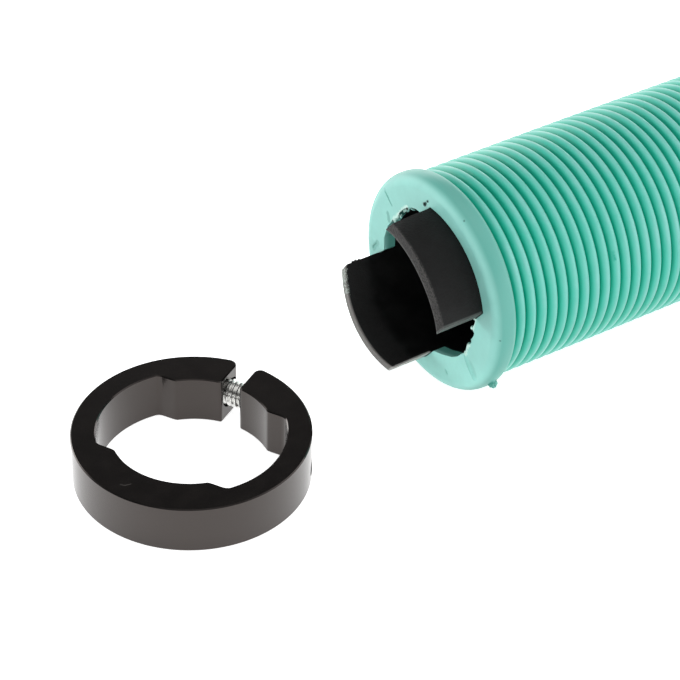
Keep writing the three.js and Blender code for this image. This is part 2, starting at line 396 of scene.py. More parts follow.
def distance_from_axis(tree, axes):
    across = add(tree, "ShaderNodeCombineXYZ", sockets={
        1: axes.outputs["Y"], 2: math_node(tree, "SUBTRACT", axes.outputs["Z"], AXIS_HEIGHT)})
    return vector_node(tree, "LENGTH", across.outputs["Vector"], out="Value")


def mark_mask(tree, start, end, width, raggedness):
    """The mask of one ragged mark between two points; its width and raggedness are in millimetres."""
    made = use_group(tree, "scuff", start=start, end=end, width=width * MM, raggedness=raggedness * MM)
    return made.outputs["Mask"]


def weakened(tree, mask, strength):
    return math_node(tree, "MULTIPLY", mask, strength)


def varied(tree, pattern, spread, least):
    """A value that a pattern lifts from its least by up to its spread."""
    return math_node(tree, "MULTIPLY_ADD", pattern, spread, least)


# Settings that a user would change

class GripSleeveSettings(bpy.types.PropertyGroup):
    rib_pitch: FloatProperty(name="Rib Pitch", description="Distance from one rib to the next",
                             default=1.922 * MM, min=MM, max=5 * MM, unit="LENGTH", precision=5)
    rib_count: IntProperty(name="Ribs", description="Number of ribs along the sleeve",
                           default=62, min=1, max=80)
    rib_depth: FloatProperty(name="Rib Depth", description="Depth of the grooves between the ribs",
                             default=0.95 * MM, min=0.1 * MM, max=2 * MM, unit="LENGTH", precision=5)
    crest_radius: FloatProperty(name="Crest Radius", description="Radius of the first ribs",
                                default=15.95 * MM, min=14.5 * MM, max=17 * MM, unit="LENGTH",
                                precision=5)
    crest_swell: FloatProperty(name="Crest Swell", description="How much the later ribs stand out more",
                               default=0.3 * MM, min=0, max=MM, unit="LENGTH", precision=5)
    colour: FloatVectorProperty(name="Rubber Colour", description="Colour of the rubber",
                                default=(0.006, 0.49, 0.35), size=3, min=0, max=1, subtype="COLOR")
    # The groove colour is painted shade, deep between the ribs.
    groove_shade_colour: FloatVectorProperty(name="Groove Colour", description="Colour deep between the ribs",
                                       default=(0.003, 0.33, 0.22), size=3, min=0, max=1,
                                       subtype="COLOR")
    # The haze colour is a rubbed haze on the crests and also a painted highlight on each rib's lit side.
    haze_and_highlight_colour: FloatVectorProperty(name="Haze Colour", description="Colour of the rubbed rib crests",
                                     default=(0.19, 0.55, 0.49), size=3, min=0, max=1, subtype="COLOR")
    # The face colour is a paler finish and a painted sheen on the end face.
    face_and_sheen_colour: FloatVectorProperty(name="Face Colour", description="Colour of the pale end face",
                                     default=(0.285, 0.655, 0.59), size=3, min=0, max=1, subtype="COLOR")
    band_colour: FloatVectorProperty(name="Band Colour", description="Colour of the flange's rim",
                                     default=(0.115, 0.40, 0.34), size=3, min=0, max=1, subtype="COLOR")
    # The mark colour darkens the scuffs and paints shade along the crease.
    scuff_and_shade_colour: FloatVectorProperty(name="Mark Colour", description="Colour of the dark scuffs",
                                     default=(0.05, 0.30, 0.24), size=3, min=0, max=1, subtype="COLOR")


class GripCoreSettings(bpy.types.PropertyGroup):
    bore_radius: FloatProperty(name="Bore Radius", description="Radius of the hole for the handlebar",
                               default=11.4 * MM, min=10 * MM, max=12.5 * MM, unit="LENGTH",
                               precision=5)
    outer_radius: FloatProperty(name="Outer Radius", description="Radius of the core and its tabs",
                                default=13.2 * MM, min=12.6 * MM, max=14 * MM, unit="LENGTH",
                                precision=5)
    tab_width: FloatProperty(name="Tab Width", description="Width of the two drive tabs",
                             default=16.4 * MM, min=4 * MM, max=20 * MM, unit="LENGTH", precision=5)
    colour: FloatVectorProperty(name="Plastic Colour", description="Colour of the black plastic",
                                default=(0.0025, 0.0025, 0.0026), size=3, min=0, max=1, subtype="COLOR")
    # The scrape colour is scraped wear and a painted reflection on the tabs' tips.
    scrape_and_reflection_colour: FloatVectorProperty(name="Scrape Colour", description="Colour of its scraped edges",
                                       default=(0.055, 0.053, 0.051), size=3, min=0, max=1,
                                       subtype="COLOR")


class GripRingSettings(bpy.types.PropertyGroup):
    pad_radius: FloatProperty(name="Pad Radius", description="Inner radius at the two clamping pads",
                              default=11.4 * MM, min=10 * MM, max=13 * MM, unit="LENGTH", precision=5)
    recess_radius: FloatProperty(name="Recess Radius", description="Inner radius at the tab recesses",
                                 default=13.45 * MM, min=13.2 * MM, max=16 * MM, unit="LENGTH",
                                 precision=5)
    recess_width: FloatProperty(name="Recess Width", description="Width of the two tab recesses",
                                default=17.2 * MM, min=8 * MM, max=20 * MM, unit="LENGTH", precision=5)
    gap: FloatProperty(name="Gap", description="Width of the slot between the two lugs",
                       default=3 * MM, min=0.5 * MM, max=6 * MM, unit="LENGTH", precision=5)
    edge: FloatProperty(name="Edge", description="Width of the broken edges",
                        default=0.4 * MM, min=0.05 * MM, max=MM, unit="LENGTH", precision=5)
    colour: FloatVectorProperty(name="Ring Colour", description="Colour of the anodised metal",
                                default=(0.0055, 0.005, 0.005), size=3, min=0, max=1, subtype="COLOR")


class GripScrewSettings(bpy.types.PropertyGroup):
    diameter: FloatProperty(name="Thread Diameter", description="Outer diameter of the thread",
                            default=4 * MM, min=2 * MM, max=5 * MM, unit="LENGTH", precision=5)
    pitch: FloatProperty(name="Thread Pitch", description="Distance from one thread turn to the next",
                         default=0.7 * MM, min=0.3 * MM, max=1.5 * MM, unit="LENGTH", precision=5)
    length: FloatProperty(name="Length", description="Length of the threaded shank",
                          default=12 * MM, min=6 * MM, max=16 * MM, unit="LENGTH", precision=5)
    colour: FloatVectorProperty(name="Steel Colour", description="Colour of the plated steel",
                                default=(0.72, 0.72, 0.70), size=3, min=0, max=1, subtype="COLOR")


class GripStageSettings(bpy.types.PropertyGroup):
    lens: FloatProperty(name="Lens", description="Focal length of the camera in millimetres",
                        default=123.62, min=20, max=300)
    pitch: FloatProperty(name="Pitch", description="How far the camera looks down",
                         default=math.radians(37.26), subtype="ANGLE", unit="ROTATION")
    heading: FloatProperty(name="Heading", description="How far the camera looks to the right of +Y",
                           default=math.radians(34.82), subtype="ANGLE", unit="ROTATION")
    roll: FloatProperty(name="Roll", description="How far the camera is turned clockwise",
                        default=math.radians(1.438), subtype="ANGLE", unit="ROTATION")
    camera_place: FloatVectorProperty(name="Camera Place", description="Where the camera stands",
                                      default=(-0.20329, -0.21929, 0.21628), size=3,
                                      subtype="TRANSLATION", unit="LENGTH")
    floor_colour: FloatVectorProperty(name="Floor Colour", description="Colour of the pale floor",
                                      default=(0.93, 0.93, 0.93), size=3, min=0, max=1,
                                      subtype="COLOR")


# Rubber sleeve

HOLE_WALL = 2 * MM
HOLE_BORE = 9.7 * MM
BOND_CLEARANCE = 0.3 * MM
RIB_POINTS = 12
# The power that a rib's half round is raised to, which narrows its crest and widens its groove
RIB_SHARPNESS = 1.55
SLEEVE_STEPS = 112
FIRST_GROOVE = 4.05 * MM
# The ribs' crests swell over this length behind the end face.
SWELL_LENGTH = 46 * MM
BAND_GAP = 0.4 * MM
BAND_ROUNDING = 1.2 * MM
# The slots that the tabs pass through, wider than the tabs by these amounts outside and beside them
SLOT_ROOM_OUTSIDE = 0.08 * MM
SLOT_ROOM_BESIDE = 0.12 * MM

# The torn edge of the end wall's hole: angle from +Y towards +Z in degrees, and radius in mm
TORN_EDGE = (
    (-14, 11.3), (-8, 11.5), (1, 11.44), (8, 11.63), (17, 11.47), (22, 11.5), (27, 11.28),
    (31, 11.3), (35, 11.2), (38.5, 10.95), (41.4, 10.95), (43.5, 11.15), (45.8, 11.3),
    (49.5, 11.45), (53.4, 11.6), (59.2, 11.75), (65.7, 11.75), (70.2, 11.65), (76, 11.3),
    (86, 11.5), (100, 11.5), (125, 11.5), (150, 11.5), (163, 11.5), (167, 11.7), (169.8, 11.55),
    (172, 11.2), (174.5, 11.1), (177.5, 11.3), (180.5, 11.15), (183.2, 10.95), (186, 10.7),
    (188.5, 11.35), (190.5, 11.4), (193.5, 11.25), (196.7, 11.15), (198.8, 11.35), (202, 11.25),
    (205, 10.85), (208, 10.95), (210.4, 11.15), (214, 11.4), (219.5, 11.15), (226, 11.25),
    (234.9, 11.15), (248.8, 10.95), (259.5, 11.0), (270, 11.3), (290, 11.5), (320, 11.5), (338, 11.4))

# Crumbs of rubber left on the tear: angle in degrees, radius and size in mm
TEAR_CRUMBS = ((185.8, 10.72, 0.6), (205.2, 11.02, 0.75), (176, 11.15, 0.3), (213, 11.3, 0.35),
               (196.5, 11.2, 0.3), (180.5, 11.2, 0.25))
# The frayed stretch of the tear, from one angle to another, and its number of small crumbs
FRAYED = (33, 66, 18)
# Where the tear's wall leans back under the end face, from one angle to another, and how far
UNDERCUT = (37, 80)
UNDERCUT_WIDENING = 1.3
# Shallow marks cut into the end face: name, start and end across and above the axis, width and depth,
# all in mm, then seed and roughness
FACE_CUTS = (
    ("pit", (2.05, 12.95), (1.75, 13.25), 0.45, 0.7, 3, 0.25),
    ("speck", (1.4, 13.8), (1.25, 13.95), 0.25, 0.4, 4, 0.2),
    ("crease", (-9.6, -6.6), (-12.4, -9.5), 1.7, 0.26, 5, 0.02),
    ("scuff_a", (12.1, 10.1), (9.9, 8.3), 0.3, 0.09, 7, 0.1),
    ("scuff_b", (13.1, -0.2), (14.1, -1.7), 0.7, 0.12, 9, 0.15),
    ("scuff_c", (-5.2, -12.2), (-5.6, -12.9), 0.3, 0.1, 11, 0.1))
# Painted marks on the end face, dark scuffs and painted shade along the crease: start and end across and
# above the axis and width, in mm, and strength
FACE_SCUFFS_AND_SHADE = (
    ((12.0, 10.1), (9.9, 8.3), 0.3, 0.3), ((13.1, -0.2), (14.1, -1.7), 0.6, 0.45),
    ((-9.5, -6.4), (-12.4, -9.4), 0.25, 0.3), ((-10.9, -7.7), (-11.8, -8.7), 0.9, 0.22),
    ((-7.15, 15.8), (-7.2, 15.7), 0.3, 0.6), ((10.4, 5.2), (10.8, 6.4), 0.5, 0.6))
# Pale stretches of the tear, from angle and radius to angle and radius, in degrees and mm
PALE_TEARS = (((176, 11.2), (185.8, 10.75)), ((203, 11.1), (207, 11.0)), ((211, 11.3), (215, 11.4)),
              ((30, 11.0), (44, 11.2)), ((44, 11.2), (58, 11.8)))
# Painted shade in the pit and the speck: start and end across and above the axis, and width, in mm
PIT_SHADE_MARKS = (((2.1, 12.9), (1.7, 13.3), 0.4), ((1.4, 13.8), (1.25, 13.95), 0.25))
# Dark specks on the flange's rim: behind the end face, across and above the axis, in mm
RIM_SPECKS = ((0.55, -6.6, 14.88), (0.64, -16.37, -0.02))
# Where one rib has lost its haze
BARE_SPOT = (Vector((-13.7, -14.9, 23.3)) * MM, Vector((-13.6, -15.3, 22.3)) * MM)
# The moulding nub on the flange's rim: its angle, distance from the axis, place and size
NUB_TURN = math.radians(-142)
NUB_RADIUS = 16.95 * MM
NUB_BEHIND = 2.35 * MM
NUB_SIZE = (1.5 * MM, 1.4 * MM, 1.2 * MM)

# Painted light from below: the crests' haze and the end face turn paler towards the underside.
LIT_UNDERSIDE_HAZE = (0.40, 0.80, 0.74, 1)
LIT_UNDERSIDE_FACE = (0.36, 0.80, 0.72, 1)
TORN_RUBBER = (0.62, 0.86, 0.78, 1)
# Near black painted shade for the pit and the speck
PIT_SHADE = (0.004, 0.012, 0.01, 1)
RIM_SPECK = (0.03, 0.12, 0.10, 1)
BARE_RUBBER = (0.004, 0.38, 0.27, 1)


def flange_points():
    """Front edge, rim and back edge of the flange, as distance from the end face and radius."""
    depth, height, start, steps = 2.0 * MM, 1.8 * MM, math.radians(24), 7
    front = []
    for step in range(steps + 1):
        turn = start + (math.pi / 2 - start) * step / steps
        front.append((depth * (1 - math.cos(turn)), RIM_RADIUS - height * (1 - math.sin(turn))))
    behind, rounding = 2.55 * MM, 1.05 * MM
    turns = [math.radians(angle) for angle in (0, 18, 36, 54, 72, 86)]
    back = [(behind + rounding * math.sin(turn), RIM_RADIUS - rounding * (1 - math.cos(turn)))
            for turn in turns]
    face_edge = [(0, RIM_RADIUS - 1.85 * MM), (0, RIM_RADIUS - 1.6 * MM)]
    return face_edge + front + back


def rib_points(settings):
    """One rib, from the groove before it to the groove behind it, with its crest at zero."""
    points = []
    for step in range(RIB_POINTS + 1):
        turn = math.pi * step / RIB_POINTS
        along = settings.rib_pitch / 2 * (1 - math.cos(turn))
        points.append((along, settings.rib_depth * (math.sin(turn) ** RIB_SHARPNESS - 1)))
    return points


def band_points(start):
    """The plain band at the outer end."""
    centre = RIM_RADIUS - BAND_ROUNDING
    turns = [math.radians(angle) for angle in range(0, 91, 15)]
    front = [(start + BAND_ROUNDING * (1 - math.cos(turn)), centre + BAND_ROUNDING * math.sin(turn))
             for turn in turns]
    back = [(SLEEVE_LENGTH - BAND_ROUNDING * (1 - math.sin(turn)),
             centre + BAND_ROUNDING * math.cos(turn)) for turn in turns]
    return front + back


def on_profile(points):
    """Turns distance from the end face and radius into a point above the axis."""
    return [(END_FACE_X + along, 0, AXIS_HEIGHT + radius) for along, radius in points]


def crest_radius(settings, along):
    """How far the ribs' crests stand from the axis at this distance behind the end face."""
    share = min(along / SWELL_LENGTH, 1)
    return settings.crest_radius + settings.crest_swell * math.sin(share * math.pi / 2)


def ribbed_line(settings):
    """One rib copied along the sleeve, and each copy lifted to the radius that it has there."""
    line = draw_line("ribs", on_profile([(FIRST_GROOVE + x, y) for x, y in rib_points(settings)]))
    apply_modifier(line, "ARRAY", count=settings.rib_count, use_relative_offset=False,
                   use_constant_offset=True, constant_offset_displace=(settings.rib_pitch, 0, 0),
                   use_merge_vertices=True, merge_threshold=0.001 * MM)
    still_low = AXIS_HEIGHT + 5 * MM
    start_editing(line)
    for rib in range(settings.rib_count):
        start = FIRST_GROOVE + rib * settings.rib_pitch
        low = END_FACE_X + start - settings.rib_pitch * 0.01
        high = low + settings.rib_pitch
        pick(line, "VERT", lambda v: low <= v.co.x < high and v.co.z < still_low)
        lift = crest_radius(settings, start + settings.rib_pitch / 2)
        bpy.ops.transform.translate(value=(0, 0, lift))
    last = END_FACE_X + FIRST_GROOVE + settings.rib_count * settings.rib_pitch - MM / 4
    pick(line, "VERT", lambda v: v.co.x > last and v.co.z < still_low)
    bpy.ops.transform.translate(value=(0, 0, settings.crest_radius + settings.crest_swell))
    stop_editing()
    return line


def ragged_plug(name):
    """The cutter for the torn hole in the end wall."""
    stop_editing()
    bpy.ops.object.select_all(action="DESELECT")
    bpy.ops.mesh.primitive_circle_add(vertices=len(TORN_EDGE), radius=MM, fill_type="NGON",
                                      enter_editmode=True)
    plug = bpy.context.object
    plug.name = name
    mesh = bmesh.from_edit_mesh(plug.data)
    mesh.verts.ensure_lookup_table()
    for vertex, (angle, radius) in zip(mesh.verts, TORN_EDGE):
        turn = math.radians(angle)
        vertex.co = (END_FACE_X - 0.05 * MM, radius * MM * math.cos(turn),
                     AXIS_HEIGHT + radius * MM * math.sin(turn))
    bmesh.update_edit_mesh(plug.data)
    bpy.ops.mesh.select_all(action="SELECT")
    bpy.ops.mesh.extrude_region_move(TRANSFORM_OT_translate={"value": (HOLE_WALL + 0.45 * MM, 0, 0)})
    low, high = (math.radians(angle) for angle in UNDERCUT)
    pick(plug, "VERT", lambda v: v.co.x > END_FACE_X + MM and
         low < math.atan2(v.co.z - AXIS_HEIGHT, v.co.y) < high)
    bpy.ops.transform.resize(value=(1, UNDERCUT_WIDENING, UNDERCUT_WIDENING),
                             center_override=(0, 0, AXIS_HEIGHT))
    tidy_mesh(plug)
    return plug


def on_face(angle, radius, depth=0.0):
    """The point on the end face at this angle in degrees and radius in millimetres."""
    turn = math.radians(angle)
    return AXIS + Vector((END_FACE_X + depth, radius * MM * math.cos(turn), radius * MM * math.sin(turn)))


def tear_crumbs():
    """The crumbs along the tear, the larger ones by their list and the small ones strewn."""
    rng = random.Random(5)
    low, high, count = FRAYED
    crumbs = list(TEAR_CRUMBS)
    for number in range(count):
        angle = low + (high - low) * (number + rng.random()) / count
        edge = min(TORN_EDGE, key=lambda corner: abs(corner[0] - angle))[1]
        crumbs.append((angle, edge - rng.uniform(-0.1, 0.42), rng.uniform(0.22, 0.55)))
    whole = None
    for number, (angle, radius, size) in enumerate(crumbs):
        lump = pebble("crumbs", on_face(angle, radius, rng.uniform(0.0, 0.35) * MM),
                      Vector((0.8, 1.0, rng.uniform(0.6, 1.0))) * size * MM,
                      (rng.uniform(0, 3), rng.uniform(0, 3), 0), 0.2, 20 + number, 2)
        if whole is None:
            whole = lump
        else:
            combine(whole, lump, "UNION")
    return whole


def across_face(across, above, behind=0.0):
    """The point on the end face, or behind it, this many millimetres across and above the axis."""
    return Vector((END_FACE_X + behind * MM, across * MM, AXIS_HEIGHT + above * MM))


def face_cutter(name, start, end, width, depth, seed, roughness):
    """A thin pebble that leaves a shallow mark on the end face between two points."""
    start, end = Vector((0, *start)) * MM, Vector((0, *end)) * MM
    along = end - start
    turn = (math.atan2(along.z, along.y), 0, 0)
    centre = AXIS + Vector((END_FACE_X, 0, 0)) + (start + end) / 2
    return pebble(name, centre, (2 * depth * MM, along.length + width * MM, width * MM), turn,
                  roughness, seed)


def turned_sleeve(settings, core):
    """The sleeve's outline, drawn as three lines and turned about the axis."""
    bore = core.outer_radius + BOND_CLEARANCE
    last_groove = FIRST_GROOVE + settings.rib_count * settings.rib_pitch
    head = [(HOLE_WALL, bore), (HOLE_WALL, HOLE_BORE), (0, HOLE_BORE)] + flange_points()
    tail = band_points(last_groove + BAND_GAP) + [(SLEEVE_LENGTH, bore), (HOLE_WALL, bore)]
    first_root = crest_radius(settings, FIRST_GROOVE) - settings.rib_depth
    last_root = settings.crest_radius + settings.crest_swell - settings.rib_depth
    front = draw_line("front", on_profile(head + [(FIRST_GROOVE, first_root)]))
    back = draw_line("back", on_profile([(last_groove, last_root)] + tail))
    ribs = ribbed_line(settings)
    choose(ribs, front, back)
    bpy.ops.object.join()
    sleeve = bpy.context.object
    sleeve.name = "fine_grip_sleeve"
    tidy_mesh(sleeve, 0.03 * MM)
    revolve(sleeve, SLEEVE_STEPS, AXIS, (1, 0, 0))
    return sleeve


def moulding_nub():
    centre = AXIS + Vector((END_FACE_X + NUB_BEHIND, NUB_RADIUS * math.cos(NUB_TURN),
                            NUB_RADIUS * math.sin(NUB_TURN)))
    return pebble("nub", centre, NUB_SIZE, (NUB_TURN, 0, 0), 0.08, 4)


class OBJECT_OT_grip_sleeve(bpy.types.Operator):
    """Model the ribbed rubber sleeve with its flange, torn end hole and marks"""
    bl_idname = "object.grip_sleeve"
    bl_label = "Rubber Sleeve"

    def execute(self, context):
        settings = context.scene.grip_sleeve
        core = context.scene.grip_core
        sleeve = turned_sleeve(settings, core)
        slots = bar("slots", core.outer_radius + SLOT_ROOM_OUTSIDE, (END_FACE_X - CLEAR, 0, AXIS_HEIGHT),
                    (END_FACE_X + HOLE_WALL + OVERLAP, 0, AXIS_HEIGHT), 160)
        cut(slots, *beside_tabs(core.tab_width / 2 + SLOT_ROOM_BESIDE, -3 * MM, 5 * MM))
        cut(sleeve, ragged_plug("hole"), slots)
        cut(sleeve, *(face_cutter(*mark) for mark in FACE_CUTS))
        combine(sleeve, moulding_nub(), "UNION")
        combine(sleeve, tear_crumbs(), "UNION")
        tidy_mesh(sleeve)
        smooth(sleeve, 28)
        finish_piece(sleeve, "root", "grip_sleeve", rubber_material(settings))
        return {"FINISHED"}


def rib_colour(tree, settings, axes, blotches, lit_underside):
    """Mint crests with a rubbed haze and a painted highlight behind each, painted shade in the grooves and
    on the flanks before the crests, and one colour outside the ribs.
    """
    radius = distance_from_axis(tree, axes)
    crest = scaled_range(tree, axes.outputs["X"], END_FACE_X, END_FACE_X + SWELL_LENGTH,
                         settings.crest_radius, settings.crest_radius + settings.crest_swell)
    below = math_node(tree, "SUBTRACT", crest, radius)
    along = math_node(tree, "SUBTRACT", axes.outputs["X"], END_FACE_X)
    ribbed = math_node(tree, "MULTIPLY", math_node(tree, "GREATER_THAN", along, FIRST_GROOVE - 0.3 * MM),
                       math_node(tree, "GREATER_THAN", radius, settings.crest_radius - 1.5 * MM))
    ribs_on = math_node(tree, "DIVIDE", math_node(tree, "SUBTRACT", along, FIRST_GROOVE),
                        settings.rib_pitch)
    through_rib = math_node(tree, "FRACT", ribs_on)
    # Rubbed haze with a painted highlight: the crest and the rib's side away from the end face turn paler.
    rubbed_and_lit = math_node(tree, "MULTIPLY", scaled_range(tree, below, 0.2 * MM, 0.8 * MM, 1.0, 0.0),
                       scaled_range(tree, through_rib, 0.08, 0.52))
    haze_and_highlight = math_node(tree, "MULTIPLY", rubbed_and_lit, varied(tree, blotches, 0.35, 0.65))
    # Painted shade: the grooves and each rib's flank towards the end face darken towards the groove colour.
    deep = math_node(tree, "MAXIMUM", scaled_range(tree, below, 0.5 * MM, settings.rib_depth),
                     scaled_range(tree, through_rib, 0.02, 0.28, 0.8, 0.0))
    colour = mix_colour(tree, deep, rgba(settings.colour), rgba(settings.groove_shade_colour))
    haze_and_highlight_colour = mix_colour(tree, lit_underside, rgba(settings.haze_and_highlight_colour), LIT_UNDERSIDE_HAZE)
    colour = mix_colour(tree, haze_and_highlight, colour, haze_and_highlight_colour)
    return mix_colour(tree, ribbed, rgba(settings.band_colour), colour)


def marked_colour(tree, settings, colour):
    """The rubber's colour with its scuffs, painted shade in the crease, the pit and the speck, torn edges
    and specks.
    """
    marks = 0.0
    # Dark scuffs, and painted shade along the crease.
    for start, end, width, strength in FACE_SCUFFS_AND_SHADE:
        scuff = mark_mask(tree, across_face(*start), across_face(*end), width, width)
        marks = math_node(tree, "MULTIPLY_ADD", scuff, strength, marks, clamp=True)
    colour = mix_colour(tree, marks, colour, rgba(settings.scuff_and_shade_colour))
    for first, last in PALE_TEARS:
        torn = mark_mask(tree, on_face(*first), on_face(*last), 0.55, 0.9)
        colour = mix_colour(tree, weakened(tree, torn, 0.8), colour, TORN_RUBBER)
    for start, end, width in PIT_SHADE_MARKS:
        pit_shade = mark_mask(tree, across_face(*start), across_face(*end), width, width)
        colour = mix_colour(tree, pit_shade, colour, PIT_SHADE)
    for behind, across, above in RIM_SPECKS:
        speck = mark_mask(tree, across_face(across, above, behind),
                          across_face(across, above, behind + 0.05), 0.22, 0.15)
        colour = mix_colour(tree, weakened(tree, speck, 0.7), colour, RIM_SPECK)
    return mix_colour(tree, mark_mask(tree, *BARE_SPOT, 0.6, 0.5), colour, BARE_RUBBER)


def rubber_material(settings):
    """Matt mint rubber, paler on its end face with its finish and a painted sheen, and paler underneath
    with painted light from below.
    """
    material, tree, shader = new_material("Mint Rubber", IOR=1.45)
    grain = use_group(tree, "grain", grains_per_metre=2600.0, blotches_per_metre=170.0)
    blotches = grain.outputs["Blotches"]
    _, axes = object_place(tree)
    # Painted light from below: the rubber turns paler towards the underside.
    lit_underside = scaled_range(tree, axes.outputs["Z"], AXIS_HEIGHT - 4 * MM, AXIS_HEIGHT - 12 * MM)
    colour = rib_colour(tree, settings, axes, blotches, lit_underside)
    # The end face's paler colour is partly its finish and partly painted sheen.
    face = scaled_range(tree, axes.outputs["X"], END_FACE_X + 0.02 * MM, END_FACE_X + 1.1 * MM, 1, 0)
    face = math_node(tree, "MULTIPLY", face, varied(tree, blotches, 0.2, 0.8))
    face_and_sheen_colour = mix_colour(tree, lit_underside, rgba(settings.face_and_sheen_colour), LIT_UNDERSIDE_FACE)
    colour = mix_colour(tree, face, colour, face_and_sheen_colour)
    tree.links.new(marked_colour(tree, settings, colour), shader.inputs["Base Color"])
    tree.links.new(varied(tree, blotches, 0.12, 0.36), shader.inputs["Roughness"])
    relief = use_group(tree, "grain", grains_per_metre=1100.0, blotches_per_metre=500.0)
    rough_face = math_node(tree, "MULTIPLY", face, relief.outputs["Grain"])
    height = math_node(tree, "MULTIPLY_ADD", rough_face, 2.0, grain.outputs["Grain"])
    bump(tree, shader, height, 0.12, 0.03 * MM)
    return material


# Plastic core

CORE_SIDES = 144
# The far tab's bore widens towards its tip, over this length and by this much just before the tip.
LEAD_IN_LENGTH = 6 * MM
LEAD_IN_WIDENING = 0.95 * MM
# How far the slots beside the tabs reach behind the end wall
SHOULDER_CLEARANCE = 0.3 * MM
# The chip broken off the far tab's corner: from the tip, across and beside the tab, then its size
BROKEN_CORNER = Vector((-0.1, -8.8, -9.3)) * MM
BROKEN_SIZE = (2.6 * MM, 12 * MM, 1.9 * MM)
# Lumps along the far tab's upper edge: behind the end face, beside the tab's middle, and size, in mm
EDGE_LUMPS = ((-5.0, -8.75, 0.45), (-4.4, -8.7, 0.65), (-3.9, -8.7, 0.4), (-2.6, -8.55, 0.35))
LUMP_RADIUS = 12.4 * MM
# The chipped stretch of the far tab's tip: its two ends across and beside the tab
CHIPPED_STRETCH = ((-9.6 * MM, -8.4 * MM), (-11.3 * MM, -5.6 * MM))

# Worn plastic and a painted reflection on the far tab's tip
WORN_AND_LIT_TIP = (0.24, 0.23, 0.22, 1)
# Painted highlights on the far and near tabs' lower side faces
FAR_SIDE_HIGHLIGHT = (0.55, 0.54, 0.52, 1)
NEAR_SIDE_HIGHLIGHT = (0.09, 0.10, 0.095, 1)
CHIPPED_PLASTIC = (0.40, 0.46, 0.42, 1)


def beside_tabs(half, start, end):
    """What lies beside the two tabs, from one distance behind the end face to another."""
    wastes = []
    for near, side, at_base, at_tip in TAB_SIDES:
        lean = math.atan2(side * (at_tip - at_base), TAB_LENGTH)
        waste = block("waste", (start, -OVERLAP, min(0, side * REACH)), (end, REACH, max(0, side * REACH)))
        if not near:
            place(waste, Matrix.Diagonal((1, -1, 1, 1)))
            tidy_mesh(waste)
        turn = Matrix.Translation((0, 0, side * (half + at_base))) @ Matrix.Rotation(lean, 4, "Y")
        wastes.append(place(waste, TAB_FRAME @ turn))
    return wastes


def crown_tips(core, half):
    """Rounds both tabs' tips, each to its own length."""
    sweep = (half * half) / (2 * TIP_CROWN)
    for near, shorter in ((True, 0.0), (False, FAR_TAB_SHORTER)):
        waste = block("waste", (-TAB_LENGTH - CLEAR, 4 * MM, -REACH), (-TAB_LENGTH + 2 * MM, REACH, REACH))
        keep = -TAB_LENGTH + shorter + sweep
        cut(waste, bar("crown", sweep, (keep, 0, 0), (keep, 1.5 * REACH, 0), 360))
        turn = Matrix.Identity(4) if near else Matrix.Rotation(math.pi, 4, "X")
        cut(core, place(waste, TAB_FRAME @ turn))


class OBJECT_OT_grip_core(bpy.types.Operator):
    """Model the hard core tube with its two drive tabs"""
    bl_idname = "object.grip_core"
    bl_label = "Plastic Core"

    def execute(self, context):
        settings = context.scene.grip_core
        tip, end = CORE_LOW.x, CORE_HIGH.x
        core = bar("fine_inner_core", settings.outer_radius, (tip, 0, AXIS_HEIGHT),
                   (end, 0, AXIS_HEIGHT), CORE_SIDES)
        cut(core, bar("bore", settings.bore_radius, (tip - CLEAR, 0, AXIS_HEIGHT),
                      (end + CLEAR, 0, AXIS_HEIGHT), CORE_SIDES))
        lead_in = bar("lead_in", settings.bore_radius + LEAD_IN_WIDENING, (tip - CLEAR, 0, AXIS_HEIGHT),
                      (tip + LEAD_IN_LENGTH, 0, AXIS_HEIGHT), CORE_SIDES, settings.bore_radius - 0.05 * MM)
        cut(lead_in, place(block("near_half", (-REACH, 0, -REACH), (REACH, REACH, REACH)), TAB_FRAME))
        cut(core, lead_in)
        half = settings.tab_width / 2
        cut(core, *beside_tabs(half, -TAB_LENGTH - CLEAR, HOLE_WALL + SHOULDER_CLEARANCE))
        crown_tips(core, half)
        far_tip = Vector((-TAB_LENGTH + FAR_TAB_SHORTER, 0, 0))
        cut(core, pebble("broken_corner", TAB_FRAME @ (far_tip + BROKEN_CORNER), BROKEN_SIZE,
                         (TAB_TURN, 0, 0), 0.06, 8))
        round_edges(core, 0.3 * MM, 3)
        rng = random.Random(11)
        for along, side, size in EDGE_LUMPS:
            angle = math.asin(side * MM / LUMP_RADIUS)
            centre = TAB_FRAME @ Vector((along * MM, -LUMP_RADIUS * math.cos(angle), side * MM))
            lump = pebble("lump", centre, (size * MM, size * MM * 1.2, size * MM * 0.8),
                          (rng.uniform(0, 3), 0, 0), 0.15, rng.randrange(1, 99), 2)
            combine(core, lump, "UNION")
        tidy_mesh(core)
        smooth(core, 32, weighted=True)
        finish_piece(core, "root", "inner_core", plastic_material(settings))
        return {"FINISHED"}


def across_tabs(tree, place_of, column):
    """How far a point lies from the axis along one of the tabs' own directions."""
    direction = TAB_FRAME.col[column].xyz
    along = vector_node(tree, "DOT_PRODUCT", place_of, tuple(direction), out="Value")
    return math_node(tree, "SUBTRACT", along, AXIS @ direction)


